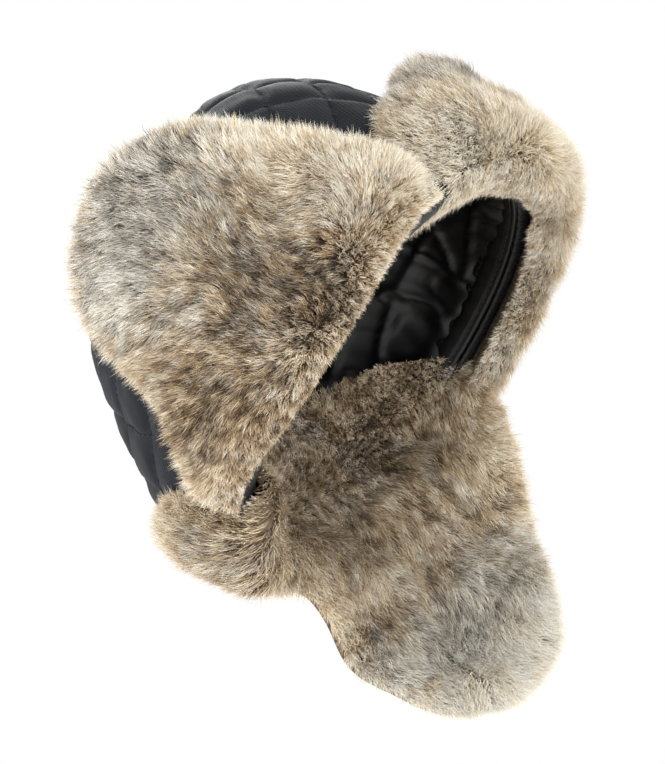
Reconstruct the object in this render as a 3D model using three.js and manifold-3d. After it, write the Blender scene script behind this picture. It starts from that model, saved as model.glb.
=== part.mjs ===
// Trapper hat: quilted crown, satin lining, turned-up fur visor and fur-lined ear and neck flaps.
// Millimetres, +Z towards the top of the crown as worn, -Y is the wearer's front, +X the wearer's left.
// The origin is where the head sits: the middle of the crown's opening, on the plane of the rim.
import * as THREE from "three";
import { mergeVertices } from "three/addons/utils/BufferGeometryUtils.js";
import Module from "manifold-3d";

const wasm = await Module();
wasm.setup();
const RAD = Math.PI / 180;

// Crown: outer half width, half length and height of the shell, and how square the dome is.
const CROWN = { halfWidth: 99, halfLength: 110, height: 134, square: 2.15 };
const LAYER_GAP = 0.3; // air between two sewn layers
const SHELL_THICK = 1.5; // nylon with its quilting scrim
const WADDING_THICK = 6;
const LINING_THICK = 1.2;
const SEAM_X = 38; // the two crown seams run front to back this far from the middle
const DOME_STEPS = 36; // facets round the crown
const DOME_RINGS = 9; // facets from rim to top

// Sweatband inside the rim, and the tape that closes the rim seam.
const SWEATBAND = { height: 13, thick: 1.1 };
const TAPE = { height: 2, top: -0.3 };

// Folds: how far outside the crown each fold line lies, and how far under the rim plane.
const FOLD_OUT = 2;
const FOLD_Z = -3;
const ROOT_DROP = 1; // the flaps' layers start this far from the fold line

// Flap layers, from the nylon side to the fur side.
const FLAP_SHELL = 1.2;
const FLAP_WADDING = 4.5;
const FUR_THICK = 20; // backing and pile together
const FUR_OVERHANG = 12; // pile that stands past a free edge

// Ear flaps: the fold line runs fore and aft, from EAR_FRONT to where the neck flap starts.
const EAR_FRONT = -45;
const EAR_DEPTH = { front: 44, rear: 96, power: 0.62 };
// Neck flaps: their fold lines turn to the back of the head by NECK_TURN.
const NECK_TURN = 62;
const NECK_DEPTH = { side: 96, back: 7, hold: 0.26 };
const FLAP_CURVE = 6; // how far the middle of a flap stands out from its two ends
const FLAP_COLUMNS = 12; // facets along a flap
const FLAP_ROWS = 7; // facets down a flap
const RIGHT_FLAP_FOLD = 7; // degrees from hanging straight down
const LEFT_FLAP_FOLD = 172; // the wearer's left flap is turned up

// Visor, turned up against the crown.
const VISOR = { halfWidth: 76, height: 96, endHeight: 20, curve: 18, fold: 184, interlining: 1.6 };

const COLOURS = {
  nylon: [0x23262b, 0.62, 0],
  satin: [0x0c0c0e, 0.34, 0],
  wadding: [0xe9e6df, 0.95, 0],
  fur: [0xb7a287, 0.96, 0],
  interlining: [0x6b6660, 0.9, 0],
  tape: [0x141416, 0.7, 0],
};

// ---------- helpers ----------

function mesh(name, geometry, colour) {
  const [color, roughness, metalness] = COLOURS[colour];
  const made = new THREE.Mesh(geometry, new THREE.MeshStandardMaterial({ color, roughness, metalness }));
  made.name = name;
  return made;
}

function toManifold(geometry) {
  const plain = new THREE.BufferGeometry();
  plain.setAttribute("position", geometry.getAttribute("position"));
  plain.setIndex(geometry.index);
  const merged = mergeVertices(plain, 1e-4);
  return new wasm.Manifold(
    new wasm.Mesh({
      numProp: 3,
      vertProperties: merged.getAttribute("position").array,
      triVerts: new Uint32Array(merged.index.array),
    }),
  );
}

function fromManifold(solid) {
  const data = solid.getMesh();
  const geometry = new THREE.BufferGeometry();
  geometry.setAttribute("position", new THREE.BufferAttribute(data.vertProperties, 3));
  geometry.setIndex(new THREE.BufferAttribute(data.triVerts, 1));
  return geometry;
}

// A closed body between two point grids of the same size; top(i, j) is on the +normal side.
function slab(columns, rows, top, bottom) {
  const points = [];
  const at = (side, i, j) => side * (columns + 1) * (rows + 1) + i * (rows + 1) + j;
  for (const side of [top, bottom])
    for (let i = 0; i <= columns; i++) for (let j = 0; j <= rows; j++) points.push(...side(i / columns, j / rows));
  const faces = [];
  const quad = (a, b, c, d) => faces.push(a, b, c, a, c, d);
  for (let i = 0; i < columns; i++)
    for (let j = 0; j < rows; j++) {
      quad(at(0, i, j), at(0, i + 1, j), at(0, i + 1, j + 1), at(0, i, j + 1));
      quad(at(1, i, j), at(1, i, j + 1), at(1, i + 1, j + 1), at(1, i + 1, j));
    }
  for (let i = 0; i < columns; i++) {
    quad(at(0, i, 0), at(1, i, 0), at(1, i + 1, 0), at(0, i + 1, 0));
    quad(at(0, i + 1, rows), at(1, i + 1, rows), at(1, i, rows), at(0, i, rows));
  }
  for (let j = 0; j < rows; j++) {
    quad(at(0, 0, j + 1), at(1, 0, j + 1), at(1, 0, j), at(0, 0, j));
    quad(at(0, columns, j), at(1, columns, j), at(1, columns, j + 1), at(0, columns, j + 1));
  }
  const geometry = new THREE.BufferGeometry();
  geometry.setAttribute("position", new THREE.Float32BufferAttribute(points, 3));
  geometry.setIndex(faces);
  return geometry;
}

// ---------- crown ----------

// The whole dome as a solid, its surface `inset` inside the outer face of the shell.
function dome(inset, base) {
  const { halfWidth, halfLength, height, square } = CROWN;
  const profile = [new THREE.Vector2(0, base), new THREE.Vector2(1, base)];
  for (let k = 1; k <= DOME_RINGS; k++) {
    const rise = Math.pow(Math.sin((90 * RAD * k) / DOME_RINGS), 2 / square);
    const reach = Math.pow(Math.max(0, 1 - Math.pow(rise, square)), 1 / square);
    profile.push(new THREE.Vector2(k === DOME_RINGS ? 0 : reach, rise * (height - inset)));
  }
  const lathe = new THREE.LatheGeometry(profile, DOME_STEPS);
  lathe.rotateX(90 * RAD);
  lathe.scale(halfWidth - inset, halfLength - inset, 1);
  return toManifold(lathe);
}

// One sewn layer of the crown, `inset` inside the shell's face, as centre strip and two side panels.
function crownLayer(name, inset, thick, colour) {
  const layer = dome(inset, 0).subtract(dome(inset + thick, -1));
  const half = LAYER_GAP / 2;
  const left = layer.trimByPlane([1, 0, 0], SEAM_X + half);
  const right = layer.trimByPlane([-1, 0, 0], SEAM_X + half);
  const centre = layer.trimByPlane([-1, 0, 0], -SEAM_X + half).trimByPlane([1, 0, 0], -SEAM_X + half);
  return [
    mesh(`${name}_centre`, fromManifold(centre), colour),
    mesh(`${name}_right`, fromManifold(right), colour),
    mesh(`${name}_left`, fromManifold(left), colour),
  ];
}

// An upright elliptical ring between two insets from the shell's face.
function rimRing(outerInset, innerInset, low, high) {
  const ellipse = (inset, s, z) => [
    (CROWN.halfWidth - inset) * Math.cos(s),
    (CROWN.halfLength - inset) * Math.sin(s),
    z,
  ];
  const drum = (inset, z0, z1) => {
    const cylinder = new THREE.CylinderGeometry(1, 1, z1 - z0, DOME_STEPS);
    cylinder.rotateX(90 * RAD);
    cylinder.translate(0, 0, (z0 + z1) / 2);
    const [width] = ellipse(inset, 0, 0);
    const [, length] = ellipse(inset, 90 * RAD, 0);
    cylinder.scale(width, length, 1);
    return toManifold(cylinder);
  };
  return fromManifold(drum(outerInset, low, high).subtract(drum(innerInset, low - 1, high + 1)));
}

const LINING_INSET = SHELL_THICK + WADDING_THICK + 2 * LAYER_GAP;
const HEAD_INSET = LINING_INSET + LINING_THICK;

function crown() {
  const group = new THREE.Group();
  group.name = "crown";
  group.add(
    ...crownLayer("crown_shell", 0, SHELL_THICK, "nylon"),
    ...crownLayer("crown_wadding", SHELL_THICK + LAYER_GAP, WADDING_THICK, "wadding"),
    ...crownLayer("lining", LINING_INSET, LINING_THICK, "satin"),
  );
  return group;
}

function sweatband() {
  const inset = HEAD_INSET + 2 * LAYER_GAP + 0.4;
  return mesh("sweatband", rimRing(inset, inset + SWEATBAND.thick, 0.4, SWEATBAND.height), "satin");
}

function rimTape() {
  return mesh("rim_tape", rimRing(0.4, HEAD_INSET + 1.4, TAPE.top - TAPE.height, TAPE.top), "tape");
}

// ---------- flaps ----------
// Each flap is modelled hanging straight down in its own frame: x runs along the fold line, y points
// away from the head and z up. Its group then turns it about x, which is the fold's own axis.

// A closed layer between `inner` and `outer`, both measured inwards from the nylon face. `over` adds
// length past the two ends and the lower edge, and `round` thins the layer towards its edges.
function flapLayer({ from, to, depth, curve }, inner, outer, over, round) {
  const middle = (from + to) / 2;
  const half = (to - from) / 2;
  const face = (y, thinning) => (a, b) => {
    const x = from - over.from + a * (to - from + over.from + over.to);
    const z = -ROOT_DROP - b * (depth(Math.min(to, Math.max(from, x))) + over.below);
    const edge = Math.pow(Math.max(Math.abs(2 * a - 1), b), 6);
    return [x, y + thinning * edge - curve * Math.pow((x - middle) / half, 2), z];
  };
  return slab(FLAP_COLUMNS, FLAP_ROWS, face(-inner, -0.35 * round), face(-outer, round));
}

// The sewn layers of one flap, from the nylon side: shell, filling and fur. An end with a mitre
// stands back from the neighbouring flap, and the pile stands past an end without one.
function flap(name, spec, fillThick, fillName, fillColour) {
  const fillIn = FLAP_SHELL + LAYER_GAP;
  const furIn = fillIn + fillThick + LAYER_GAP;
  const standBack = (tangent, deep) => -tangent * Math.max(deep + spec.curve, -spec.curve) - LAYER_GAP;
  const over = (deep, pile) => ({
    from: spec.mitre.from ? standBack(spec.mitre.from, deep) : pile,
    to: spec.mitre.to ? standBack(spec.mitre.to, deep) : pile,
    below: pile,
  });
  const group = new THREE.Group();
  group.name = name;
  group.add(
    mesh(`${name}_shell`, flapLayer(spec, 0, FLAP_SHELL, over(FLAP_SHELL, 0), 0), "nylon"),
    mesh(`${name}_${fillName}`, flapLayer(spec, fillIn, furIn - LAYER_GAP, over(furIn, 0), 0), fillColour),
    mesh(`${name}_fur`, flapLayer(spec, furIn, furIn + FUR_THICK, over(furIn + FUR_THICK, FUR_OVERHANG), 13), "fur"),
  );
  return group;
}

// Stands a flap's frame at (x, y) on the fold height, facing `turn` degrees from +X, and folds it.
function hang(group, x, y, turn, fold) {
  group.position.set(x, y, FOLD_Z);
  group.rotation.order = "ZYX";
  group.rotation.set(fold * RAD, 0, (turn - 90) * RAD);
  return group;
}

// Seen from above, where the ear fold meets the neck fold, and where the two neck folds meet.
function foldCorner() {
  const turn = NECK_TURN * RAD;
  const x = CROWN.halfWidth + FOLD_OUT;
  const reach = Math.hypot(CROWN.halfWidth * Math.cos(turn), CROWN.halfLength * Math.sin(turn)) + FOLD_OUT;
  return { x, y: (reach - x * Math.cos(turn)) / Math.sin(turn), back: reach / Math.sin(turn) };
}

const CORNER = foldCorner();
const EAR_LENGTH = CORNER.y - EAR_FRONT;
const NECK_LENGTH = Math.hypot(CORNER.x, CORNER.back - CORNER.y);
const EAR_MITRE = Math.tan((NECK_TURN / 2) * RAD);
const BACK_MITRE = Math.tan((90 - NECK_TURN) * RAD);

// Depth below the fold, along the ear flap from its corner with the neck flap to its front end.
function earDepth(fromCorner) {
  const share = Math.max(0, 1 - fromCorner / EAR_LENGTH);
  return EAR_DEPTH.front + (EAR_DEPTH.rear - EAR_DEPTH.front) * Math.pow(share, EAR_DEPTH.power);
}

// Depth below the fold, along the neck flap from its corner with the ear flap to the middle of the back.
function neckDepth(fromCorner) {
  const share = fromCorner / NECK_LENGTH;
  const fall = Math.max(0, (share - NECK_DEPTH.hold) / (1 - NECK_DEPTH.hold));
  return NECK_DEPTH.side + (NECK_DEPTH.back - NECK_DEPTH.side) * Math.pow(fall, 1.15);
}

// side is 1 for the wearer's left and -1 for the right. A flap that rests turned up curves round the
// crown, and one that hangs curves the other way in the same frame.
function earFlap(name, side, fold) {
  const ends = side > 0 ? [0, EAR_LENGTH] : [-EAR_LENGTH, 0];
  const spec = {
    from: ends[0],
    to: ends[1],
    depth: (x) => earDepth(Math.abs(x)),
    curve: fold > 90 ? -FLAP_CURVE : FLAP_CURVE,
    mitre: side > 0 ? { from: EAR_MITRE, to: 0 } : { from: 0, to: EAR_MITRE },
  };
  const made = flap(name, spec, FLAP_WADDING, "wadding", "wadding");
  return hang(made, side * CORNER.x, CORNER.y, side > 0 ? 0 : 180, fold);
}

function neckFlap(name, side, fold) {
  const ends = side > 0 ? [-NECK_LENGTH, 0] : [0, NECK_LENGTH];
  const spec = {
    from: ends[0],
    to: ends[1],
    depth: (x) => neckDepth(Math.abs(x)),
    curve: fold > 90 ? -FLAP_CURVE : FLAP_CURVE,
    mitre: side > 0 ? { from: BACK_MITRE, to: EAR_MITRE } : { from: EAR_MITRE, to: BACK_MITRE },
  };
  const made = flap(name, spec, FLAP_WADDING, "wadding", "wadding");
  return hang(made, side * CORNER.x, CORNER.y, side > 0 ? NECK_TURN : 180 - NECK_TURN, fold);
}

function visor() {
  const spec = {
    from: -VISOR.halfWidth,
    to: VISOR.halfWidth,
    depth: (x) => {
      const share = Math.abs(x) / VISOR.halfWidth;
      return VISOR.endHeight + (VISOR.height - VISOR.endHeight) * (1 - Math.pow(share, 2.4));
    },
    curve: -VISOR.curve,
    mitre: { from: 0, to: 0 },
  };
  const made = flap("visor", spec, VISOR.interlining, "interlining", "interlining");
  return hang(made, 0, -(CROWN.halfLength + FOLD_OUT), -90, VISOR.fold);
}

// ---------- the hat ----------

const hat = new THREE.Group();
hat.name = "trapper_hat";
hat.add(
  crown(),
  sweatband(),
  rimTape(),
  visor(),
  earFlap("ear_flap_right", -1, RIGHT_FLAP_FOLD),
  neckFlap("neck_flap_right", -1, RIGHT_FLAP_FOLD),
  earFlap("ear_flap_left", 1, LEFT_FLAP_FOLD),
  neckFlap("neck_flap_left", 1, LEFT_FLAP_FOLD),
);

export default hat;
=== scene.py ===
"""Trapper hat: quilted nylon crown, satin lining, fur visor and fur-lined ear and neck flaps.

Lengths are in millimetres here and become metres when a mesh is made.
+Z is the top of the crown as worn, -Y the wearer's front, +X the wearer's left.
"""

import bpy
import copy
import math
import numpy as np
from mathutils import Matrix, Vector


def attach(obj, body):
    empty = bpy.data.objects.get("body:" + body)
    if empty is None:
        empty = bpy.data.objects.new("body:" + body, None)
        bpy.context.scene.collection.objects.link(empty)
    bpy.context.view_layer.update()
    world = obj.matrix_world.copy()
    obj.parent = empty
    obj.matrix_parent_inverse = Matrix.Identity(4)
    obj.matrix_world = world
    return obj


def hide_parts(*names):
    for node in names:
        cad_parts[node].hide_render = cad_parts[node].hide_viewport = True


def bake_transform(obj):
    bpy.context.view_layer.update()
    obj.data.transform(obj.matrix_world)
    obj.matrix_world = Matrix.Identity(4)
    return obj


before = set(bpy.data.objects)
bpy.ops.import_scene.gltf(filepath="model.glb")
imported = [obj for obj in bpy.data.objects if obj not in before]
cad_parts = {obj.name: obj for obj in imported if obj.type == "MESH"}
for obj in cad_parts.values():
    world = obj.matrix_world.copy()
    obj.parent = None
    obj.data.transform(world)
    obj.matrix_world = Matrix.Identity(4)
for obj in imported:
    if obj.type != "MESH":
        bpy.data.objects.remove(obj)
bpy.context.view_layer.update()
MM = 0.001

# ---------------------------------------------------------------- sizes

CROWN_A, CROWN_B, CROWN_H = 99.0, 110.0, 134.0  # the dome's half width, half length and height
CROWN_P = 2.15  # how square the dome is; 2 makes an ellipsoid
SEAM_X = 38.0  # where the side panels meet the centre strip
TOP_STITCH = 6.5  # from a seam to the stitching beside it
QUILT, FLAP_QUILT = 34.0, 30.0  # pitch of the stitch lines on the crown and on the flaps
PUFF, FLAP_PUFF = 2.5, 2.6  # how far a diamond stands up from its stitch lines
STITCH_SINK = 0.6  # how far the crown's stitch lines lie below the dome
CREASE, FLAP_CREASE = 0.22, 0.2  # how wide the valley along a stitch line is; the pitch is about 3
SAG, FULL = 9.5, 6.0  # how far the crown bulges low on its right side and high on its left side
SHELL_THICK, RIM_THICK = 2.6, 1.6  # the quilted shell, and its edge at the rim
LINING_IN = 8.3  # from the dome in to the lining
BAND_IN, BAND_TOP = 10.2, 13.0  # from the dome in to the sweatband, and its height
BAND_ROWS = (0.2, 0.82)  # its two stitch rows, as shares of its height
TAPE_IN, TAPE_HALF = 5.4, 5.0  # from the dome in to the middle of the rim tape, and half its width
FOLD_Z = -3.0  # height of the folds
VISOR_Y = -112.0  # the visor's fold
CORNER_X, CORNER_Y = 101.0, 70.53  # where the ear and neck folds of one side meet
EAR_FOLD, NECK_FOLD, VISOR_FOLD = 115.53, 114.4, 152.0  # lengths of the folds
NECK_X, NECK_Y = 0.46947, 0.88295  # cosine and sine of 62 degrees, the way the left neck flap faces
NYLON_FACE, NYLON_BACK = 1.6, 4.6  # depths of a flap's quilting lines and of its nylon's wadding
BACKING_BACK = 4.8  # depth at which the fur's filling starts

UP = np.array([0.0, 0.0, 1.0])


def smooth(t):
    t = np.clip(t, 0, 1)
    return t * t * (3 - 2 * t)


def unit(v):
    return v / np.maximum(np.linalg.norm(v, axis=-1, keepdims=True), 1e-9)


def stripe(v, centre, reach):
    """1 where v is at the centre, falling to 0 on both sides."""
    return np.exp(-(((v - centre) / reach) ** 2))


def spot(x, w, centre, reach):
    """1 at the centre and falling to 0 all round it; centre and reach are (x, w) pairs."""
    return np.exp(-(((x - centre[0]) / reach[0]) ** 2) - (((w - centre[1]) / reach[1]) ** 2))


def on_flap(x, w):
    """Points for a random field that lies in a flap's own plane."""
    return np.stack([x, w, 0 * x], -1)


class Waves:
    """A smooth random field in space: the sum of a few sine waves, about -1 to 1."""

    def __init__(self, seed, length, count=7, stretch=(1, 1, 1)):
        r = np.random.default_rng(seed)
        k = unit(r.normal(size=(count, 3))) * (2 * np.pi / length)
        self.k = k * r.uniform(0.6, 1.5, (count, 1)) / np.array(stretch, float)
        self.phase = r.uniform(0, 2 * np.pi, count)

    def __call__(self, p):
        return np.sin(p @ self.k.T + self.phase).sum(-1) / math.sqrt(len(self.phase) * 0.9)


# ---------------------------------------------------------------- materials


def srgb(r, g, b):
    c = np.array([r, g, b], float) / 255
    lin = np.where(c <= 0.04045, c / 12.92, ((c + 0.055) / 1.055) ** 2.4)
    return (*lin.tolist(), 1.0)


def new_material(name, rough=0.6, spec=0.4, **sockets):
    m = bpy.data.materials.new(name)
    m.use_nodes = True
    bsdf = m.node_tree.nodes["Principled BSDF"]
    bsdf.inputs["Roughness"].default_value = rough
    bsdf.inputs["Specular IOR Level"].default_value = spec
    for key, value in sockets.items():
        bsdf.inputs[key.replace("_", " ")].default_value = value
    return m, m.node_tree, bsdf


def node(tree, kind, **values):
    n = tree.nodes.new(kind)
    for key, value in values.items():
        if hasattr(n, key):
            setattr(n, key, value)
        else:
            n.inputs[key.replace("_", " ")].default_value = value
    return n


def woven(name, dark, light, rough, thread, bump, patch=18.0, spec=0.4):
    """Cloth with a fine weave, a slight colour drift and a little unevenness of gloss.

    thread is the pitch of the weave and patch the size of the colour drift.
    """
    m, t, bsdf = new_material(name, rough, spec, Sheen_Weight=0.0, Sheen_Roughness=0.4)
    link = t.links.new
    where = node(t, "ShaderNodeTexCoord").outputs["Object"]
    drift = node(t, "ShaderNodeTexNoise", Scale=1000 / patch, Detail=4.0, Roughness=0.6)
    link(where, drift.inputs["Vector"])
    ramp = node(t, "ShaderNodeValToRGB")
    low, high = ramp.color_ramp.elements
    low.position, high.position = 0.3, 0.7
    low.color, high.color = dark, light
    link(drift.outputs["Fac"], ramp.inputs["Fac"])
    link(ramp.outputs["Color"], bsdf.inputs["Base Color"])
    height = None
    for axis in ("X", "Y", "Z"):
        wave = node(t, "ShaderNodeTexWave", bands_direction=axis, Scale=1000 / thread / 6.28, Distortion=0.6)
        link(where, wave.inputs["Vector"])
        if height is None:
            height = wave.outputs["Fac"]
            continue
        add = node(t, "ShaderNodeMath", operation="ADD")
        link(height, add.inputs[0])
        link(wave.outputs["Fac"], add.inputs[1])
        height = add.outputs[0]
    bumps = node(t, "ShaderNodeBump", Strength=bump, Distance=0.0004)
    link(height, bumps.inputs["Height"])
    link(bumps.outputs["Normal"], bsdf.inputs["Normal"])
    gloss = node(t, "ShaderNodeMapRange")
    gloss.inputs["To Min"].default_value = rough - 0.06
    gloss.inputs["To Max"].default_value = rough + 0.08
    link(drift.outputs["Fac"], gloss.inputs["Value"])
    link(gloss.outputs["Result"], bsdf.inputs["Roughness"])
    return m


NYLON = woven("nylon_shell", srgb(19, 22, 27), srgb(27, 31, 37), 0.56, 0.55, 0.25, spec=0.16)
SATIN = woven("satin_lining", srgb(4, 4, 5), srgb(9, 9, 11), 0.4, 0.3, 0.06, spec=0.35)
TAPE = woven("rim_tape", srgb(14, 14, 16), srgb(22, 22, 25), 0.6, 0.8, 0.4)
BACKING = woven("fur_backing", srgb(98, 83, 66), srgb(134, 117, 95), 0.95, 1.2, 0.6, patch=14.0)
THREAD = woven("thread", srgb(26, 28, 31), srgb(40, 43, 47), 0.55, 0.35, 0.5)

# Hair goes from dark at index 0 to pale, in a warm family and a grey one.
TONES_WARM = [(76, 58, 40), (124, 100, 73), (174, 149, 116),
              (209, 188, 156), (233, 216, 188), (247, 238, 219)]
TONES_GREY = [(69, 64, 56), (113, 107, 97), (160, 154, 143),
              (196, 190, 178), (224, 218, 206), (244, 240, 230)]
LEVELS = len(TONES_WARM)


def hair_material(name, colour):
    m, _, bsdf = new_material(name, 0.62, 0.25, Sheen_Weight=0.15, Sheen_Roughness=0.5)
    bsdf.inputs["Base Color"].default_value = srgb(*colour)
    return m


HAIR = [hair_material(f"hair_warm_{i}", c) for i, c in enumerate(TONES_WARM)]
HAIR += [hair_material(f"hair_grey_{i}", c) for i, c in enumerate(TONES_GREY)]

# ---------------------------------------------------------------- mesh making


def make_mesh(name, points, faces, materials, index=None, smooth_shade=True):
    """points in mm; faces is an (n, k) array or a list of such arrays."""
    blocks = faces if isinstance(faces, list) else [faces]
    mesh = bpy.data.meshes.new(name)
    points = np.ascontiguousarray(points, float) * MM
    mesh.vertices.add(len(points))
    mesh.vertices.foreach_set("co", points.astype(np.float32).ravel())
    loops = np.concatenate([b.ravel() for b in blocks])
    totals = np.concatenate([np.full(len(b), b.shape[1]) for b in blocks])
    starts = np.concatenate([[0], np.cumsum(totals)[:-1]])
    mesh.loops.add(len(loops))
    mesh.loops.foreach_set("vertex_index", loops.astype(np.int32))
    mesh.polygons.add(len(totals))
    mesh.polygons.foreach_set("loop_start", starts.astype(np.int32))
    for m in materials:
        mesh.materials.append(m)
    if index is not None:
        mesh.polygons.foreach_set("material_index", np.asarray(index, np.int32))
    mesh.update(calc_edges=True)
    mesh.polygons.foreach_set("use_smooth", np.full(len(totals), smooth_shade))
    mesh.validate()
    obj = bpy.data.objects.new(name, mesh)
    bpy.context.scene.collection.objects.link(obj)
    return obj


def grid_faces(rows, cols, flip=False, offset=0, wrap=False):
    i, j = np.meshgrid(np.arange(rows - 1), np.arange(cols if wrap else cols - 1), indexing="ij")
    j2 = (j + 1) % cols
    corners = [i * cols + j, (i + 1) * cols + j, (i + 1) * cols + j2, i * cols + j2]
    quads = np.stack(corners, -1).reshape(-1, 4)
    return (quads[:, ::-1] if flip else quads) + offset


def slab_mesh(name, outer, inner, material, wrap=False):
    """A closed body between two point grids; the outside of `outer` is on the side of d/di x d/dj."""
    rows, cols = outer.shape[:2]
    n = rows * cols
    faces = [grid_faces(rows, cols, wrap=wrap), grid_faces(rows, cols, flip=True, offset=n, wrap=wrap)]
    j = np.arange(cols if wrap else cols - 1)
    j2 = (j + 1) % cols
    last = (rows - 1) * cols
    faces.append(np.stack([j, j2, j2 + n, j + n], -1))
    faces.append(np.stack([last + j2, last + j, last + j + n, last + j2 + n], -1))
    if not wrap:
        i = np.arange(rows - 1) * cols
        faces.append(np.stack([i + cols, i, i + n, i + cols + n], -1))
        e = i + cols - 1
        faces.append(np.stack([e, e + cols, e + cols + n, e + n], -1))
    return make_mesh(name, np.concatenate([outer.reshape(-1, 3), inner.reshape(-1, 3)]), faces, [material])


def closed_grid(name, face, back, material):
    """slab_mesh with its faces turned so that they point out of the body."""
    mid = (face.shape[0] // 2, face.shape[1] // 2)
    du = face[mid[0] + 1, mid[1]] - face[mid]
    dv = face[mid[0], mid[1] + 1] - face[mid]
    if np.dot(np.cross(du, dv), face[mid] - back[mid]) < 0:
        face, back = face[::-1], back[::-1]
    return slab_mesh(name, face, back, material)


def ring_slab(name, outer, inner, material):
    """outer and inner are grids whose first index runs all the way round."""
    return slab_mesh(name, outer.transpose(1, 0, 2), inner.transpose(1, 0, 2), material, wrap=True)


def stitch_dashes(name, lines, length, gap, radius, lift):
    """Short rounded stitches laid along polylines of (points, normals).

    Each stitch has four three-cornered rings: its ends sink into the cloth, its middle stands up by lift.
    """
    points, faces, base = [], [], 0
    ring = np.array([[0, -1], [0.8, 0.5], [-0.8, 0.5]])
    fat = np.array([0.45, 1, 1, 0.45])[None, :, None, None] * radius
    for line, normal in lines:
        step = np.linalg.norm(np.diff(line, axis=0), axis=1)
        run = np.concatenate([[0], np.cumsum(step)])
        starts = np.arange(gap, run[-1] - length, length + gap)
        count = len(starts)
        if not count:
            continue
        t = (starts[:, None] + np.array([0, 0.15, 0.85, 1.0]) * length).ravel()
        at = np.stack([np.interp(t, run, line[:, k]) for k in range(3)], -1)
        up = unit(np.stack([np.interp(t, run, normal[:, k]) for k in range(3)], -1))
        sunk = np.tile([-0.55, lift, lift, -0.55], count)
        at = (at + up * sunk[:, None]).reshape(-1, 4, 3)
        up = up.reshape(-1, 4, 3)
        along = unit(at[:, 3] - at[:, 0])[:, None]
        side = unit(np.cross(along, up))
        v = at[:, :, None] + fat * (ring[:, 0, None] * side[:, :, None] - ring[:, 1, None] * up[:, :, None])
        points.append(v.reshape(-1, 3))
        k, r, c = np.meshgrid(np.arange(count), np.arange(3), np.arange(3), indexing="ij")
        here = base + k * 12 + r * 3
        c2 = (c + 1) % 3
        quads = np.stack([here + c, here + c2, here + 3 + c2, here + 3 + c], -1)
        faces.append(quads.reshape(-1, 4))
        base += count * 12
    return make_mesh(name, np.concatenate(points), np.concatenate(faces), [THREAD])


# ---------------------------------------------------------------- crown


def ellipse(theta, inset, z):
    """Points round the head, a distance inside the dome's rim."""
    x, y = (CROWN_A - inset) * np.cos(theta), (CROWN_B - inset) * np.sin(theta)
    return np.stack([x, y, np.zeros_like(theta) + z], -1)


def dome_point(theta, rise, inset=0.0):
    """theta runs round the crown, rise from 0 at the rim to 1 at the top."""
    up = np.sin(rise * np.pi / 2) ** (2 / CROWN_P)
    reach = np.maximum(0, 1 - up**CROWN_P) ** (1 / CROWN_P)
    x, y = (CROWN_A - inset) * reach * np.cos(theta), (CROWN_B - inset) * reach * np.sin(theta)
    return np.stack([x, y, (CROWN_H - inset) * up], -1)


def dome_normal(p, inset=0.0):
    size = np.array([CROWN_A, CROWN_B, CROWN_H]) - inset
    return unit(np.sign(p) * np.abs(p / size) ** (CROWN_P - 1) / size)


def crown_grid(inset, around, upward):
    """Points and normals of the dome; the first index runs round it and the second from rim to top."""
    theta = np.linspace(0, 2 * np.pi, around, endpoint=False)
    t, r = np.meshgrid(theta, np.linspace(0, 1, upward), indexing="ij")
    p = dome_point(t, r, inset)
    return p, dome_normal(p, inset)


def quilt_coordinates(p):
    """Two families of diagonal stitch lines; whole numbers lie on a line. The panels are quilted apart."""
    x, y, z = p[..., 0], p[..., 1], p[..., 2]
    side = np.abs(x) > SEAM_X
    over_radius, girth_radius = 112, 108  # these turn angles into lengths of cloth
    along, across = np.arctan2(z * 0.9 + 18, y) * over_radius, x * 1.12
    girth = np.arctan2(y, np.abs(x) + 34) * girth_radius
    upward = z + 0.25 * np.maximum(0, CROWN_A - np.abs(x))
    u = np.where(side, girth + upward, along + across) / QUILT
    v = np.where(side, girth - upward, along - across) / QUILT
    return u + 0.23, v + 0.41, side


def quilt_depth(p):
    """0 on a stitch line or seam and near 1 in the middle of a diamond."""
    u, v, _ = quilt_coordinates(p)
    from_seam = np.abs(p[..., 0]) - SEAM_X
    a, b = np.abs(np.sin(np.pi * u)), np.abs(np.sin(np.pi * v))
    diamond = (1 - np.exp(-a / CREASE)) * (1 - np.exp(-b / CREASE)) * (0.62 + 0.38 * np.sqrt(a * b))
    seam = 1 - np.exp(-np.abs(from_seam) / 3.2)
    top_stitch = 1 - 0.5 * stripe(from_seam, TOP_STITCH, 1.3)
    rim = 1 - np.exp(-p[..., 2] / 5.0)
    return diamond * seam * top_stitch * (0.35 + 0.65 * rim)


def quilted(p, normal):
    """The dome with its quilting, its puckers and the way it has slumped."""
    x, z = p[..., 0], p[..., 2]
    puckers = Waves(11, 9.0)(p) * 0.3 + Waves(12, 26.0)(p) * 0.7
    slump = Waves(13, 120.0)(p) * 1.6
    puff = quilt_depth(p)
    height = -STITCH_SINK + PUFF * puff + puckers * (0.35 + 0.5 * (1 - puff)) + slump * smooth(z / 30)
    sag = np.clip(-x / CROWN_A, 0, 1) ** 2 * smooth(z / 26) * smooth((96 - z) / 70)
    full = smooth((x - 20) / 45) * smooth((z - 40) / 50)
    height = height + SAG * sag + FULL * full
    return p + normal * height[..., None]


def build_crown():
    around, upward = ((440, 112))
    p, n = crown_grid(0, around, upward)
    inner = p - n * SHELL_THICK
    inner[:, 0] = p[:, 0] - n[:, 0] * RIM_THICK
    return slab_mesh("crown_shell", quilted(p, n)[::-1], inner[::-1], NYLON)


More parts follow.
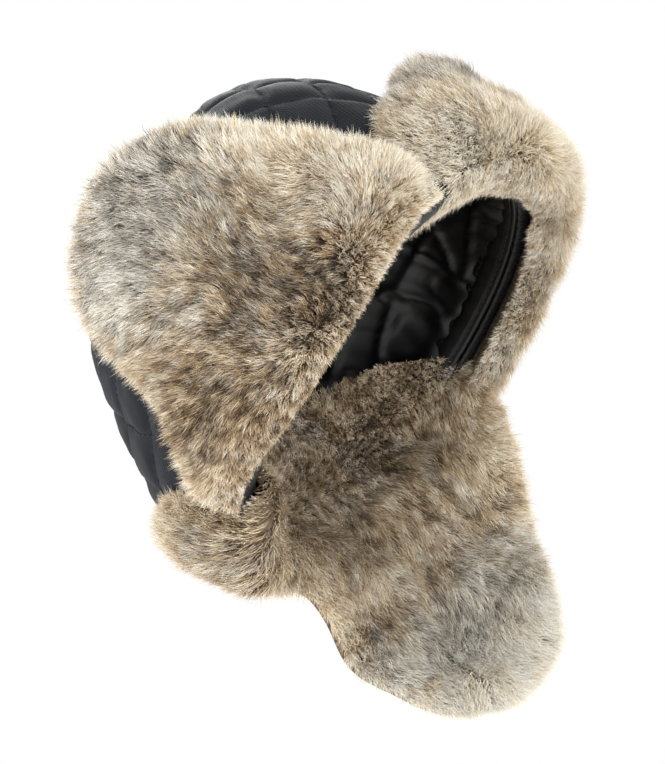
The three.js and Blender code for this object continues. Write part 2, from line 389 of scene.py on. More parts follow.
def level_lines(field, p, n, fewest):
    """Where a field on a grid crosses each whole number: the points and normals, one pair per number."""
    found = []
    for axis in (0, 1):
        size = field.shape[axis]
        (a, b), (pa, pb), (na, nb) = (
            (g.take(range(0, size - 1), axis), g.take(range(1, size), axis)) for g in (field, p, n)
        )
        level = np.maximum(np.floor(a), np.floor(b))
        cross = (np.floor(a) != np.floor(b)) & (np.abs(a - b) < 0.5)
        t = np.where(cross, (level - a) / np.where(np.abs(b - a) < 1e-9, 1, b - a), 0)[..., None]
        found.append([grid[cross] for grid in (pa + (pb - pa) * t, na + (nb - na) * t, level)])
    at, normal, level = (np.concatenate(both) for both in zip(*found))
    return [(at[level == k], normal[level == k]) for k in np.unique(level) if (level == k).sum() > fewest]


def chain(points, normals, reach, fewest=8):
    """Orders scattered crossing points into lines by walking to the nearest unused neighbour."""
    left = np.ones(len(points), bool)
    lines = []
    while left.any():
        ids = np.nonzero(left)[0]
        start = ids[np.argmin(points[ids, 2])]
        order = [start]
        left[start] = False
        while left.any():
            ids = np.nonzero(left)[0]
            gap = np.linalg.norm(points[ids] - points[order[-1]], axis=1)
            k = np.argmin(gap)
            if gap[k] > reach:
                break
            order.append(ids[k])
            left[ids[k]] = False
        if len(order) > fewest:
            lines.append((points[order], normals[order]))
    return lines


def build_crown_stitching():
    """Stitches along every quilting line and along the top-stitching of the two seams."""
    p, n = (np.concatenate([g, g[:1]], 0) for g in crown_grid(0, 260, 90))
    u, v, side = quilt_coordinates(p)
    surface = quilted(p, n)
    elsewhere = 1e3
    lines = []
    for panel in (side & (p[..., 0] > 0), side & (p[..., 0] < 0), ~side):
        for field in (u, v):
            for at, normal in level_lines(np.where(panel, field, elsewhere), surface, n, 10):
                lines += chain(at, normal, 9.0)
    arc = np.linspace(0.02, 0.98, 240)
    for x in (-SEAM_X - TOP_STITCH, SEAM_X + TOP_STITCH):
        y = np.cos(arc * np.pi) * CROWN_B * math.sqrt(1 - (x / CROWN_A) ** 2)
        reach = np.sqrt((x / CROWN_A) ** 2 + (y / CROWN_B) ** 2)
        q = np.stack([np.full_like(y, x), y, CROWN_H * (1 - reach**CROWN_P) ** (1 / CROWN_P)], -1)
        normal = dome_normal(q)
        lines.append((quilted(q, normal), normal))
    return stitch_dashes("crown_stitching", lines, 2.6, 1.1, 0.34, 0.12)


def build_lining():
    """Satin, gathered at the rim, with slack, long creases and two sewn seams."""
    around, upward = ((430, 114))
    p, n = crown_grid(LINING_IN, around, upward)
    x, y, z = p[..., 0], p[..., 1], p[..., 2]
    gather = np.sin(np.arctan2(y, x) * 46 + 3 * Waves(21, 60.0)(p)) * np.exp(-z / 34)
    folds = np.abs(Waves(22, 46.0, stretch=(1, 1, 0.6))(p))
    creases = np.exp(-folds * 4.0) * 2.4 + np.exp(-np.abs(Waves(23, 30.0)(p)) * 6) * 0.9
    seam = stripe(np.abs(x), SEAM_X, 1.6) * 1.4
    slack = 1.6 + 1.4 * Waves(24, 75.0)(p)
    inward = 0.3 + np.maximum(0, slack) + creases * smooth(z / 16) + gather * 0.8 + 0.8 - seam
    inward = np.maximum(0.25, inward * smooth(0.25 + z / 18))
    return slab_mesh("lining", p - n * inward[..., None], p - n * 0.02, SATIN)


def band_inset(theta, high):
    """The sweatband's face: rolled over its height, and rippled more and more towards its top."""
    ripple = 0.5 * np.sin(theta * 61 + 1.3 * np.sin(theta * 7)) * high**2
    return BAND_IN + 1.2 * np.sin(np.pi * high) ** 0.5 + ripple


def build_sweatband():
    theta = np.linspace(0, 2 * np.pi, 420, endpoint=False)[:, None]
    high = np.linspace(0, 1, 15)[None]
    rows = 0.35 * sum(stripe(high, row, 0.05) for row in BAND_ROWS)
    theta, high = theta + 0 * high, high + 0 * theta
    z = 0.2 + BAND_TOP * high
    face, back = ellipse(theta, band_inset(theta, high) - rows, z), ellipse(theta, BAND_IN - 0.5, z)
    sweatband = ring_slab("sweatband_satin", back, face, SATIN)
    t = np.linspace(0, 2 * np.pi, 700)
    lines = []
    for row in BAND_ROWS:
        at = ellipse(t, band_inset(t, row) - 0.3, 0.2 + BAND_TOP * row)
        lines.append((at, -unit(at * [1, 1, 0])))
    return sweatband, stitch_dashes("sweatband_stitching", lines, 2.2, 1.0, 0.26, 0.18)


def build_tape():
    """The tape over the seam where crown, lining and flaps meet: a flat ring with a ribbed face."""
    theta = np.linspace(0, 2 * np.pi, 360, endpoint=False)[:, None]
    turn = np.linspace(0, 2 * np.pi, 13)[None, :-1]
    inset = TAPE_IN + TAPE_HALF * np.cos(turn) + 0.25 * np.sin(theta * 90)
    p = ellipse(theta + 0 * turn, inset, -1.2 + 1.5 * np.sin(turn) + 0 * theta)
    rows, cols = p.shape[:2]
    faces = grid_faces(rows + 1, cols, wrap=True) % (rows * cols)
    return make_mesh("rim_binding", p.reshape(-1, 3), faces, [TAPE])


# ---------------------------------------------------------------- flaps

# How a flap falls; distances along the fold (x) or away from it (w).
RIM_OUT, RIM_REACH = 1.0, 26.0  # a flap starts this far outside the dome's rim and leaves it over this w
CORNER_REACH = 42.0  # the ear part and the neck part share one direction at their corner, within this x
TUCK, TUCK_REACH = 8.0, 16.0  # how far the corner is drawn in, and over which x
TWIST_FROM, TWIST_OVER = 58.0, 34.0  # where the temple end turns over, and over which x
TEMPLE_X, TEMPLE_MAX = 88.0, 99.0  # past this x the end of a flap follows the head, up to this far
LIFT_OVER = 50.0  # how far past the temple an end has risen by its lift
TILT_FROM, TILT_OVER = 10.0, 70.0  # where a fold's ends start to rise by its tilt, and over which x
FLARE_FROM, FLARE_OVER = 8.0, 58.0  # where a flap starts to swing out by its flare, and over which w
SWAY, SWAY_FINE, SWAY_OVER = 3.0, 1.3, 45.0  # how far the cloth waves, long and short, and from which w fully
EDGE_ROUND = 15.0  # the padding is full this far inside the free edge
INSIDE_LEAN = 0.32  # how far fur inside the crown leans in for each mm above the fold
THIN_FROM, THIN_OVER, THIN = 75.0, 45.0, 0.75  # the roll loses this share of its radius towards the temple


class Flap:
    """One flap. x runs along its fold, w away from the fold and d from the nylon face to the fur, in mm.

    turn: the flap's angle in degrees; 0 hangs straight down and 180 stands straight up.
    curve: how far the fold's ends bow in towards the head, negative for a flap that is turned up.
    x0, x1: the ends of the fold. ends: where this piece starts and stops. outline: the free edge.
    thick: the padding under the hair. roll, span: radius and angle of the fur's roll under the fold.
    flare: how far the flap swings away from the head. tilt: how far the ends of the fold rise.
    wrap, lift, twist: how the temple end follows the head, rises, and turns over in degrees.
    inner: how far the fur rises inside the crown, as (x, height) points.
    """

    def __init__(self, body, origin, tangent, normal, turn, curve, x0, x1, outline, ends, thick, seed, roll,
                 corner=True, span=0.0, flare=0.0, wrap=0.0, twist=0.0, lift=0.0, inner=None, tilt=0.0):
        self.body, self.x0, self.x1, self.curve, self.thick = body, x0, x1, curve, thick
        self.span, self.flare, self.wrap, self.lift, self.inner = span, flare, wrap, lift, inner
        self.turn, self.twist, self.tilt = math.radians(turn), math.radians(twist), tilt
        self.origin, self.t, self.side = (np.array(v, float) for v in (origin, tangent, normal))
        hand = math.copysign(1.0, self.side[0])
        self.corner_out = unit(np.array([hand + NECK_X * hand, NECK_Y, 0.0]))
        self.outline = np.array(outline, float)
        self.ends, self.corner, self.roll, self.turned_up, self.seed = ends, corner, roll, turn > 90, seed
        self.is_roll = False
        self.waves = Waves(seed, 95.0, 6)
        self.fine = Waves(seed + 1, 38.0, 6)

    def depth(self, x):
        """The w of the free edge."""
        return np.interp(x, self.outline[:, 0], self.outline[:, 1])

    def low(self, x):
        """Where the fur starts: round the roll under a fold, or inside the crown above a hanging flap."""
        if self.inner is not None:
            return -np.interp(x, *zip(*self.inner))
        return 0 * x - self.span * self.roll

    def edge(self, x, w):
        """How far inside the free edge a point is."""
        a, b = self.outline[:-1], self.outline[1:]
        q = np.stack([x, w], -1)[..., None, :]
        ab = b - a
        t = np.clip(((q - a) * ab).sum(-1) / (ab * ab).sum(-1), 0, 1)
        near = np.linalg.norm(q - (a + ab * t[..., None]), axis=-1).min(-1)
        return np.where(w <= self.depth(x), near, -near)

    def place(self, x, w, d):
        """The point in space at x, w and d."""
        x, w, d = np.broadcast_arrays(*(np.asarray(v, float) for v in (x, w, d)))
        from_corner = np.abs(x)
        turn = self.turn + self.twist * smooth((from_corner - TWIST_FROM) / TWIST_OVER) * smooth((w + 1) / 8)
        c, s = np.cos(turn)[..., None], np.sin(turn)[..., None]
        side = self.side + 0 * c
        if self.corner:
            share = smooth(from_corner / CORNER_REACH)[..., None]
            side = unit(self.corner_out * (1 - share) + self.side * share)
        down, out = side * s - UP * c, side * c + UP * s
        flat = side * math.cos(self.turn) + UP * math.sin(self.turn)
        bow = -self.curve * ((x - (self.x0 + self.x1) / 2) / ((self.x1 - self.x0) / 2)) ** 2
        fold = self.origin + x[..., None] * self.t + bow[..., None] * flat
        angle = np.arctan2(fold[..., 1] / CROWN_B, fold[..., 0] / CROWN_A)
        near = np.exp(-np.maximum(w, 0) / RIM_REACH)
        p = fold + (ellipse(angle, -RIM_OUT, FOLD_Z) - fold) * near[..., None]
        if self.corner:
            p = p - self.corner_out * (TUCK * np.exp(-from_corner / TUCK_REACH) * (1 - near))[..., None]
        p = p + w[..., None] * down - d[..., None] * out
        past = np.clip(from_corner - TEMPLE_X, 0, TEMPLE_MAX)
        wrap, lift = self.wrap * past**2, self.lift * (past / LIFT_OVER) ** 2
        p = p - wrap[..., None] * self.side + lift[..., None] * UP
        p = p + (self.tilt * smooth((from_corner - TILT_FROM) / TILT_OVER))[..., None] * UP
        key = np.stack([x * self.t[0] + fold[..., 0] * 0.5, x * self.t[1] + fold[..., 1] * 0.5, w], -1)
        sway = (SWAY * self.waves(key) + SWAY_FINE * self.fine(key)) * smooth(w / SWAY_OVER)
        swell = self.flare * smooth((w - FLARE_FROM) / FLARE_OVER)
        return p + (sway + swell)[..., None] * out

    def loft(self, x, w):
        """How thick the flap is without its hair: round at the free edge."""
        inside = np.clip(self.edge(x, np.maximum(w, 0)) / EDGE_ROUND, 0, 1)
        return self.thick * np.sqrt(1 - (1 - inside) ** 2) + 1 + 1.8 * self.fine(on_flap(x, w)) * inside

    def skin(self, x, w, lift=0.0):
        """The surface that the hair grows from: it rolls under a fold, or leans in inside the crown."""
        x, w = np.asarray(x, float), np.asarray(w, float)
        thick = self.loft(x, w) + lift
        if not self.turned_up:
            return self.place(x, w, thick + np.maximum(-w, 0) * INSIDE_LEAN)
        turn = np.clip(-w, 0, np.pi * self.roll) / self.roll
        thin = THIN * smooth((np.abs(x) - THIN_FROM) / THIN_OVER) * (self.wrap > 0)
        radius = self.roll * (1 - thin) + lift
        return self.place(x, np.where(w < 0, -radius * np.sin(turn), w), thick * np.cos(turn))

    def frame_at(self, x, w):
        """Root point, outward normal and the two directions along the skin."""
        p = self.skin(x, w)
        px, pw = self.skin(x + 1.0, w) - p, self.skin(x, w + 1.0) - p
        n = unit(np.cross(px, pw))
        away = self.skin(x, w, 1.0) - p
        n = n * np.sign((n * away).sum(-1, keepdims=True))
        return p, n, unit(px), unit(pw)


# Free edges as (x, w) points. One outline serves the ear and the neck part of a side; x is 0 at their corner.
VISOR_RIM = [(-91, 0), (-86, 13), (-72, 37), (-60, 60), (-50, 82), (-37, 99), (-18, 110), (0, 113), (24, 105),
             (38, 89), (44, 71), (48, 49), (56, 31), (66, 19), (80, 9), (89, 0)]
RIGHT_RIM = [(-146, 0), (-145, 18), (-138, 33), (-122, 36), (-104, 31), (-88, 16), (-74, 9), (-62, 17),
             (-48, 41), (-34, 67), (-18, 91), (0, 103), (14, 107), (28, 107), (42, 104), (56, 92), (70, 73),
             (84, 51), (98, 31), (108, 16), (114.4, 7), (116, 0)]
LEFT_RIM = [(-116, 0), (-114.4, 10), (-106, 24), (-92, 40), (-74, 60), (-54, 78), (-32, 90), (-12, 84),
            (0, 79), (20, 76), (44, 69), (70, 63), (92, 55), (110, 47), (124, 41), (133, 28), (140, 13),
            (147, 0)]
RIGHT_RISE = [(-146, 26), (-110, 30), (-60, 36), (0, 47), (50, 45), (84, 32), (104, 16), (116, 6)]

RIGHT = dict(origin=(-CORNER_X, CORNER_Y, FOLD_Z), turn=7, curve=6, outline=RIGHT_RIM, thick=8.5, seed=32,
             roll=7.0, flare=16, inner=RIGHT_RISE)
RIGHT_EAR = dict(tangent=(0, 1, 0), normal=(-1, 0, 0), x0=-EAR_FOLD, x1=0, wrap=0.005, twist=148, **RIGHT)
LEFT = dict(origin=(CORNER_X, CORNER_Y, FOLD_Z), turn=172, curve=-6, outline=LEFT_RIM, thick=11.5, seed=34,
            roll=12.0, span=2.5, flare=11)
CURL_END = -74  # the right ear flap's cloth is drawn up here; beyond it is the curl at the temple
FLAPS = {
    "visor": Flap("visor", origin=(0, VISOR_Y, FOLD_Z), tangent=(-1, 0, 0), normal=(0, -1, 0), turn=184,
                  curve=-18, x0=-VISOR_FOLD / 2, x1=VISOR_FOLD / 2, outline=VISOR_RIM, ends=(-91, 89),
                  thick=8, seed=31, roll=6.5, corner=False, span=2.5, tilt=9),
    "temple_curl": Flap("crown", ends=(-146, CURL_END), **RIGHT_EAR),
    "ear_flap_right": Flap("ear_flap_right", ends=(CURL_END, 0), **RIGHT_EAR),
    "neck_flap_right": Flap("neck_flap_right", tangent=(NECK_Y, NECK_X, 0), normal=(-NECK_X, NECK_Y, 0), x0=0,
                            x1=NECK_FOLD, ends=(0, 116), **RIGHT),
    "ear_flap_left": Flap("ear_flap_left", tangent=(0, -1, 0), normal=(1, 0, 0), x0=0, x1=EAR_FOLD,
                          ends=(0, 147), wrap=0.006, lift=8, **LEFT),
    "neck_flap_left": Flap("neck_flap_left", tangent=(NECK_Y, -NECK_X, 0), normal=(NECK_X, NECK_Y, 0),
                           x0=-NECK_FOLD, x1=0, ends=(-116, 0), **LEFT),
}


def rolled_part(flap):
    """The part of a turned-up flap's fur that rolls under the fold. It stays on the crown's rim."""
    roll = copy.copy(flap)
    roll.is_roll, roll.body = True, "crown"
    return roll


def bend(obj, flap):
    """A hanging flap is left in place and attached to no body. The rest moves with its body."""
    if flap.body == "crown" or flap.turned_up:
        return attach(obj, flap.body)
    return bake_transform(obj)


def flap_grid(flap, from_low=False):
    """x and w over a flap, from its fold or from where its fur starts."""
    cols, rows = ((150, 100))
    x = np.linspace(*flap.ends, cols)[:, None]
    v = np.linspace(0, 1, rows)[None]
    start = flap.low(x) if from_low and (flap.is_roll or not flap.turned_up) else 0 * x
    end = 0 * x if flap.is_roll else np.maximum(flap.depth(x), 1.5)
    return x + 0 * v, start + (end - start) * v


def build_nylon(name, flap):
    """The quilted nylon face with its wadding. It stops a little inside the fur's edge."""
    x, w = flap_grid(flap)
    slope = flap.depth(x + 1) - flap.depth(x - 1)
    inset = 3.0 * np.hypot(1, slope / 2)
    w = w * (1 - np.clip(inset / np.maximum(flap.depth(x), 1.5), 0, 0.6))
    u, v = (x + w) / FLAP_QUILT + 0.3, (x - w) / FLAP_QUILT + 0.1
    a, b = np.abs(np.sin(np.pi * u)), np.abs(np.sin(np.pi * v))
    edge = np.clip(flap.edge(x, w), 0, 99)
    puff = (1 - np.exp(-a / FLAP_CREASE)) * (1 - np.exp(-b / FLAP_CREASE))
    puff = puff * (1 - np.exp(-edge / 5)) * (1 - np.exp(-w / 6))
    puff = puff * (1 - 0.6 * stripe(edge, 7, 1.4))
    wrinkle = Waves(41, 14.0)(on_flap(x, w)) * 0.35
    face = flap.place(x, w, NYLON_FACE - FLAP_PUFF * puff - wrinkle * np.clip(edge / 8, 0, 1))
    return closed_grid(f"{name}_nylon", face, flap.place(x, w, NYLON_BACK), NYLON)


def build_backing(name, flap):
    """The fur's own backing and filling, under the hair."""
    x, w = flap_grid(flap, from_low=True)
    under_w, inner = w, np.minimum(BACKING_BACK, flap.loft(x, w) - 0.3)
    if flap.turned_up:
        inner = inner * np.cos(np.clip(-w / flap.roll, 0, np.pi))
        under_w = np.maximum(w, 0)
    return closed_grid(f"{name}_fur_backing", flap.skin(x, w), flap.place(x, under_w, inner), BACKING)


# ---------------------------------------------------------------- fur

STEPS = np.array([0.0, 0.34, 0.68, 1.0])  # the four points of a strand, as shares of its length
TUFT, LOCK = 3.4, 9.0  # spacing of the tufts that hairs gather in, and of the larger locks
RIM_BAND, RIM_SHORT = 2.2, 0.68  # hair this near the free edge is shorter by this and stands every way
RIM_DENSITY = 7  # roots along each millimetre of the free edge, for a density of 1
UNDERCOAT = dict(density=2.0, length=7.5, width=0.75, loose=0.3, darker=0.4)
GUARD_HAIR = dict(density=3.2, length=12.0, width=0.3, loose=0.45, darker=0.0)


def sample_roots(flap, density, rng):
    """Root positions: spread evenly over the flap, with a further row along its free edge."""
    lo, hi = flap.ends
    along = np.linspace(lo, hi, 60)
    top, low = flap.depth(along).max(), flap.low(along).min()
    count = int((hi - lo) * (top - low) * density)
    x, w = rng.uniform(lo, hi, count), rng.uniform(low, top, count)
    keep = (w < flap.depth(x) - 0.6) & (w > flap.low(x))
    if flap.turned_up:
        keep &= (w < 0) if flap.is_roll else (w >= 0)
    x, w = x[keep], w[keep]
    if flap.is_roll:
        return x, w
    step = np.diff(flap.outline, axis=0)
    length = np.linalg.norm(step, axis=1)
    k = rng.choice(len(step), int(length.sum() * density * RIM_DENSITY), p=length / length.sum())
    inward = np.stack([step[k, 1], -step[k, 0]], -1) / length[k, None]
    share, inset = rng.uniform(0, 1, (len(k), 1)), rng.uniform(0.2, 2.0, (len(k), 1))
    rim = flap.outline[k] + step[k] * share + inward * inset
    rim = rim[(rim[:, 0] > lo) & (rim[:, 0] < hi) & (rim[:, 1] > 0.3)]
    rim = rim[rim[:, 1] < flap.depth(rim[:, 0]) - 0.05]
    return np.concatenate([x, rim[:, 0]]), np.concatenate([w, rim[:, 1]])


def scatter(gx, gw, seed, mix_x, mix_w, mix_seed, scale):
    """A number from 0 to 1 that looks random and belongs to a grid cell."""
    return np.modf(np.sin(gx * mix_x + gw * mix_w + seed * mix_seed) * scale)[0] % 1


def clump_centre(x, w, size, seed):
    """The nearest jittered grid point and a number that belongs to it."""
    best = None
    cx, cw = np.floor(x / size), np.floor(w / size)
    for i in (-1, 0, 1):
        for j in (-1, 0, 1):
            gx, gw = cx + i, cw + j
            px = (gx + 0.1 + 0.8 * scatter(gx, gw, seed, 127.1, 311.7, 17.3, 43758.5453)) * size
            pw = (gw + 0.1 + 0.8 * scatter(gx, gw, seed, 269.5, 183.3, 29.9, 28001.8384)) * size
            key = scatter(gx, gw, seed, 91.7, 57.3, 11.1, 15731.7431)
            found = [(px - x) ** 2 + (pw - w) ** 2, px, pw, key]
            if best is None:
                best = found
            closer = found[0] < best[0]
            best = [np.where(closer, new, old) for new, old in zip(found, best)]
    return best[1:]


def strand_paths(flap, x, w, comb, length, lean, turn):
    """Points along each strand and its root's normal. lean is how flat it lies, from 0 to 1."""
    root, n, ax, aw = flap.frame_at(x, w)
    comb_x, comb_w = comb(x, w)
    c, s = np.cos(turn), np.sin(turn)
    comb_x, comb_w = comb_x * c - comb_w * s, comb_x * s + comb_w * c
    way = comb_x[:, None] * ax + comb_w[:, None] * aw
    way = way / np.maximum(np.linalg.norm(way, axis=-1, keepdims=True), 0.85)
    lean = (lean * np.linalg.norm(way, axis=-1))[:, None, None]
    t = STEPS[None, :, None]
    up = n[:, None] * ((1 - lean) * t + 0.62 * lean * (t - 0.62 * t**2))
    along = way[:, None] * (lean * (0.35 * t + 0.62 * t**2))
    return root[:, None] + (up + along) * length[:, None, None], n


def tuft_leaders(flap, x, tuft_x, tuft_w, comb, length, lean, turn):
    """The strand at the middle of each hair's tuft, kept inside the fur's outline."""
    past = 3.0 if flap.corner else 0.0
    first, last = max(flap.ends[0] - past, flap.outline[0, 0]), min(flap.ends[1] + past, flap.outline[-1, 0])
    tuft_x = np.clip(tuft_x, first, last)
    deepest = np.minimum(np.maximum(flap.depth(tuft_x), flap.depth(x)), flap.outline[:, 1].max())
    tuft_w = np.clip(tuft_w, flap.low(tuft_x), deepest - 1)
    return strand_paths(flap, tuft_x, tuft_w, comb, length, lean, turn)[0]


def strip_points(paths, normal, width, rng):
    """Seven points for each strand: three pairs that taper, and the tip."""
    count = len(paths)
    along = unit(np.gradient(paths, axis=1))
    facing = unit(normal + rng.normal(0, 0.55, normal.shape))[:, None]
    side = unit(np.cross(along, facing + 0 * along))[:, :3]
    taper = np.array([1.0, 0.92, 0.62])[None, :, None]
    wide = taper * width * rng.uniform(0.7, 1.2, count)[:, None, None]
    left, right = paths[:, :3] - side * wide / 2, paths[:, :3] + side * wide / 2
    return np.concatenate([np.stack([left, right], 2).reshape(count, 6, 3), paths[:, 3:4]], 1)


def strand_tones(flap, x, w, level, grey, tuft, lock, rng):
    """Material numbers for the root, middle and tip of each strand, from dark to pale."""
    count = len(x)
    level = level + 1.1 * (tuft - 0.5) * 2 + 0.45 * rng.normal(size=count)
    mottle = 0.25 * Waves(flap.seed + 9, 34.0)(on_flap(x, w))
    mottle = mottle + 0.55 * Waves(flap.seed + 10, 9.0)(on_flap(x, w * 1.3))
    family = (rng.uniform(size=count) + 0.5 * (lock - 0.5) < grey).astype(int) * LEVELS
    parts = []
    for k, rise in enumerate((-1.6, 0.0, 1.1)):
        shade = np.round(level + mottle * (0.3 + 0.5 * k) + rise + rng.normal(0, 0.25, count))
        parts.append(family + np.clip(shade, 0, LEVELS - 1).astype(int))
    return parts


def fur_piece(name, flap, style, seed, density, length, width, loose, darker):
    """Hair as flat tapering strips, combed, gathered in tufts and shaded from root to tip."""
    comb, tone, curl, lean = style
    rng = np.random.default_rng(seed)
    x, w = sample_roots(flap, density * (1.0), rng)
    count = len(x)
    tuft_x, tuft_w, tuft = clump_centre(x, w, TUFT, flap.seed + int(length))
    _, _, lock = clump_centre(x, w, LOCK, flap.seed + 5)
    drift = Waves(flap.seed + 7, 52.0)
    swirl = curl * (1.2 * drift(on_flap(x, w)) + (lock - 0.5))
    tuft_swirl = curl * (1.2 * drift(on_flap(tuft_x, tuft_w)) + (lock - 0.5))

    # The visor's and the right side's hair is short at the fold, and all hair is short deep under a fold.
    short = 1 - 0.5 * smooth((4 - w) / 10) * (flap.roll < 8)
    if flap.turned_up:
        short = short * (1 - 0.62 * smooth((-w / flap.roll - 1.1) / 1.1))
    size = length * rng.uniform(0.72, 1.18, count) * (0.88 + 0.24 * lock) * short
    # Hair stands up more towards the free edge.
    edge = np.clip(flap.edge(x, np.maximum(w, 0)), 0, 40)
    lean = lean - 0.4 * np.exp(-edge / 4.5)
    flat = np.clip(lean + 0.16 * rng.normal(size=count), 0.1, 0.95)
    on_rim = (edge < RIM_BAND) & (w > 0)
    flat = np.where(on_rim, rng.uniform(0.1, 0.85, count), flat)
    size = np.where(on_rim, RIM_SHORT * size, size)

    # Each hair is pulled towards the strand at the middle of its tuft, least at the root and the free edge.
    paths, normal = strand_paths(flap, x, w, comb, size, flat, swirl + rng.normal(0, 0.24, count))
    leader = tuft_leaders(flap, x, tuft_x, tuft_w, comb, length * (0.8 + 0.4 * tuft) * short, lean,
                          tuft_swirl + (tuft - 0.5) * 0.9)
    along = STEPS[None, :, None]
    pull = along**1.4 * (0.6 - loose * rng.uniform(0, 1, count)[:, None, None])
    paths = paths + (leader - paths) * np.maximum(pull, 0) * (0.15 + 0.85 * smooth(edge / 7))[:, None, None]
    paths = paths + rng.normal(0, 0.5, paths.shape) * along

    # Of the seven points of a strand, two quads and a triangle are made, each with its own tone.
    points = strip_points(paths, normal, width, rng).reshape(-1, 3)
    base = np.arange(count)[:, None] * 7
    quads = np.stack([base + np.array([0, 1, 3, 2]), base + np.array([2, 3, 5, 4])], 1).reshape(-1, 4)
    tips = base + np.array([4, 5, 6])
    level, grey = tone(x, w, edge)
    root_tone, middle_tone, tip_tone = strand_tones(flap, x, w, level - darker, grey, tuft, lock, rng)
    index = np.concatenate([np.stack([root_tone, middle_tone], 1).reshape(-1), tip_tone])
    return bend(make_mesh(name, points, [quads, tips], HAIR, index, False), flap)


def build_fur(name, flap, seed, style):
    fur_piece(f"{name}_undercoat", flap, style, seed, **UNDERCOAT)
    return fur_piece(f"{name}_guard_hair", flap, style, seed + 50, **GUARD_HAIR)


# How the hair is combed: each function gives its direction along x and along w.


def comb_outwards(flap, x, w, cx, cw, reach=16.0):
    """Turns a comb direction outwards near the free edge."""
    e = flap.edge(x, np.maximum(w, 0))
    gx = flap.edge(x + 1.5, np.maximum(w, 0)) - flap.edge(x - 1.5, np.maximum(w, 0))
    gw = flap.edge(x, np.maximum(w + 1.5, 0)) - flap.edge(x, np.maximum(w - 1.5, 0))
    g = unit(np.stack([-gx, -gw], -1) + 1e-6)
    k = np.exp(-np.maximum(e, 0) / reach) * 1.6
    return cx + g[..., 0] * k, cw + g[..., 1] * k


def visor_comb(x, w):
    """Away from the fold, more and more sideways towards the wearer's right, and back down at the fold."""
    right = smooth((x + 60) / 110)
    cx, cw = 0.12 + 0.75 * right, 1.0 - 0.45 * right
    down = smooth((22 - w) / 36)
    return comb_outwards(FLAPS["visor"], x, w, cx, cw * (1 - down) - 0.6 * down, 9.0)


def side_comb(flap, near_ear, near_neck, start, reach, turn_back):
    """Away from the fold, and turned back to follow the fur round the fold or up inside the crown."""

    def comb(x, w):
        sideways = near_ear + (near_neck - near_ear) * smooth((x + 20) / 40)
        back = smooth((start - w) / reach)
        return comb_outwards(flap, x, w, sideways, 1.0 - turn_back * back)

    return comb


# How pale the hair is, on the scale of the tones, and which share of it is grey.


def visor_tone(x, w, edge):
    x = -x
    patch = spot(x, w, (10, 84), (38, 26))
    brown = spot(x, w, (18, 26), (34, 25))
    tan = spot(x, w, (-42, 20), (26, 24))
    pale = spot(x, w, (-28, 78), (30, 24))
    cream = 0.75 * np.exp(-edge / 8) + 1.1 * smooth((x - 30) / 22)
    # painted shade: near the fold, where the fur turns under, the hair is painted a little darker and less
    # grey
    fold = np.exp(-np.maximum(w, 0) / 9)
    level = 2.5 - 0.95 * patch - 1.8 * brown - 1.9 * tan + 1.3 * cream + 0.8 * pale - 0.1 * fold
    return level, 0.3 + 0.75 * patch + 0.3 * pale + 0.1 * brown - 0.2 * fold - 0.2 * tan


def right_tone(x, w, edge):
    # painted light and shade: the ridge stripe is a painted highlight, paler hair where a ridge in the fur
    # would catch the light, and the band stripe is painted shade, darker hair beside it
    ridge_highlight = stripe(w, 30, 5)
    band = stripe(w, 44, 9)
    fringe = np.exp(-edge / 8)
    back = smooth((x - 60) / 30)
    tip = smooth((w - 70) / 20)
    temple = smooth((-x - 40) / 30)
    level = 1.4 + 1.4 * smooth(w / 95 * 1.2) + 0.9 * ridge_highlight - 1.0 * band
    level = level + 1.4 * fringe + 0.9 * back + 1.9 * tip + 0.6 * temple
    return level, 0.25 + 0.65 * smooth((w - 36) / 22) - 0.3 * fringe - 0.4 * back


def left_tone(x, w, edge):
    fringe = np.exp(-edge / 10)
    top = smooth((w - 26) / 26)
    # painted shade: near the fold, where the fur rolls under, the hair is painted a little darker
    fold = np.exp(-np.maximum(w, 0) / 8)
    level = 3.4 + 1.4 * stripe(w, 3, 15) - 1.5 * top + 1.0 * fringe - 0.2 * fold
    return level, 0.3 + 0.7 * top - 0.2 * fringe


RIGHT_COMB = (0.25, -0.35, -3, 24, 1.7)
LEFT_COMB = (-0.25, 0.25, 30, 52, 1.8)
# comb, tone, how much the hair swirls, and how flat it lies
STYLES = {"visor": (visor_comb, visor_tone, 0.34, 0.6)}
for name in ("temple_curl", "ear_flap_right", "neck_flap_right"):
    STYLES[name] = (side_comb(FLAPS[name], *RIGHT_COMB), right_tone, 0.4, 0.64)
for name in ("ear_flap_left", "neck_flap_left"):
    STYLES[name] = (side_comb(FLAPS[name], *LEFT_COMB), left_tone, 0.4, 0.62)

# ---------------------------------------------------------------- assembly

crown = build_crown()
crown_stitching = build_crown_stitching()
lining = build_lining()
band, band_stitching = build_sweatband()
tape = build_tape()
for piece in (crown, crown_stitching, lining, band, band_stitching, tape):
    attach(piece, "crown")
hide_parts(*[f"crown_{k}_{s}" for k in ("shell", "wadding") for s in ("centre", "right", "left")])
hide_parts("lining_centre", "lining_right", "lining_left")
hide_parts("sweatband")
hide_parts("rim_tape")

for k, (name, flap) in enumerate(FLAPS.items()):
    nylon = bend(build_nylon(name, flap), flap)
    backing = bend(build_backing(name, flap), flap)
    guard = build_fur(name, flap, 100 + k * 200, STYLES[name])
    if name != "temple_curl":
        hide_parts(f"{name}_shell", f"{name}_{'interlining' if name == 'visor' else 'wadding'}")
        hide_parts(f"{name}_fur")
    if flap.turned_up:
        roll = rolled_part(flap)
        bend(build_backing(f"{name}_roll", roll), roll)
        build_fur(f"{name}_roll", roll, 190 + k * 200, STYLES[name])

# ---------------------------------------------------------------- stage, light and camera

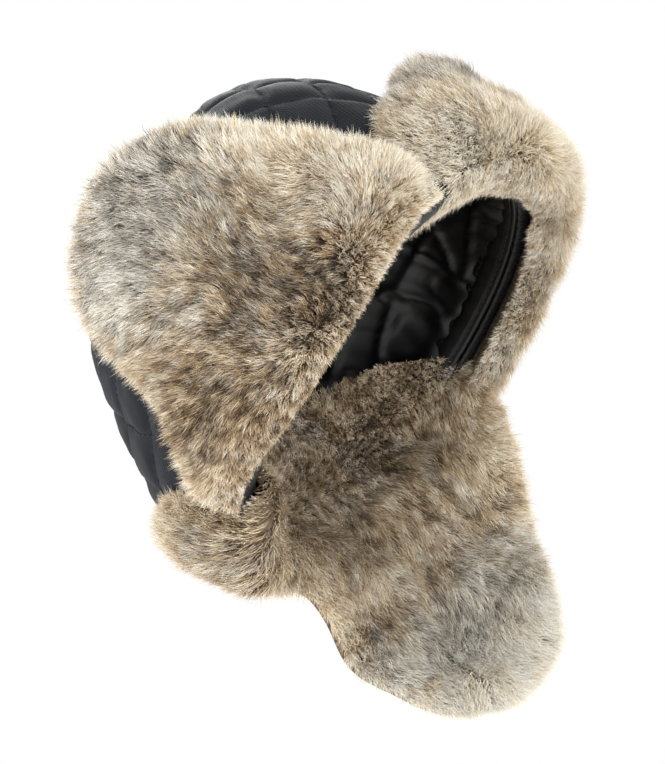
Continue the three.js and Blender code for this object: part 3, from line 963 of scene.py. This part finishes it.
scene = bpy.context.scene
scene.view_settings.view_transform = "Standard"
world = bpy.data.worlds.new("studio")
world.use_nodes = True
world.node_tree.nodes["Background"].inputs["Color"].default_value = (1, 1, 1, 1)
world.node_tree.nodes["Background"].inputs["Strength"].default_value = 1.0
scene.world = world

FLOOR_HALF, FLOOR_Z = 40000.0, -600.0
PAPER = woven("floor_paper", srgb(250, 250, 249), srgb(254, 254, 253), 0.95, 4, 0.02, spec=0.1)
floor_corners = [(x * FLOOR_HALF, y * FLOOR_HALF, FLOOR_Z) for x, y in ((-1, -1), (1, -1), (1, 1), (-1, 1))]
floor = make_mesh("floor", floor_corners, np.array([[0, 1, 2, 3]]), [PAPER])


def area_light(name, where, size, power):
    """A round soft light, in metres and watts, that faces the hat."""
    data = bpy.data.lights.new(name, "AREA")
    data.shape, data.size, data.energy = "DISK", size, power
    obj = bpy.data.objects.new(name, data)
    obj.location = where
    direction = -np.array(where) / np.linalg.norm(where)
    obj.rotation_euler = Vector(direction).to_track_quat("-Z", "Y").to_euler()
    scene.collection.objects.link(obj)


area_light("key", (-0.9, -1.3, 1.1), 0.9, 22)
area_light("fill", (1.5, -1.1, -0.1), 1.2, 8)
area_light("back", (0.3, 1.5, 1.3), 1.0, 14)

# The camera looks up at the hat from the front; its roll lays the hat on its side, as in the photograph.
azimuth, elevation, camera_roll = (math.radians(a) for a in (8, -16, 55))
DISTANCE, LENS = 1.5, 168
toward = np.array([math.sin(azimuth) * math.cos(elevation), -math.cos(azimuth) * math.cos(elevation),
                   math.sin(elevation)])
level_right = unit(np.cross(-toward, UP))
level_up = np.cross(toward, level_right)
cam_right = math.cos(camera_roll) * level_right - math.sin(camera_roll) * level_up
cam_up = math.sin(camera_roll) * level_right + math.cos(camera_roll) * level_up
aim = -0.0227 * cam_right - 0.0088 * cam_up
camera_data = bpy.data.cameras.new("camera")
camera_data.lens = LENS
camera = bpy.data.objects.new("camera", camera_data)
stand = np.eye(4)
stand[:3] = np.stack([cam_right, cam_up, toward, aim + toward * DISTANCE], 1)
camera.matrix_world = Matrix(stand.tolist())
scene.collection.objects.link(camera)
scene.camera = camera
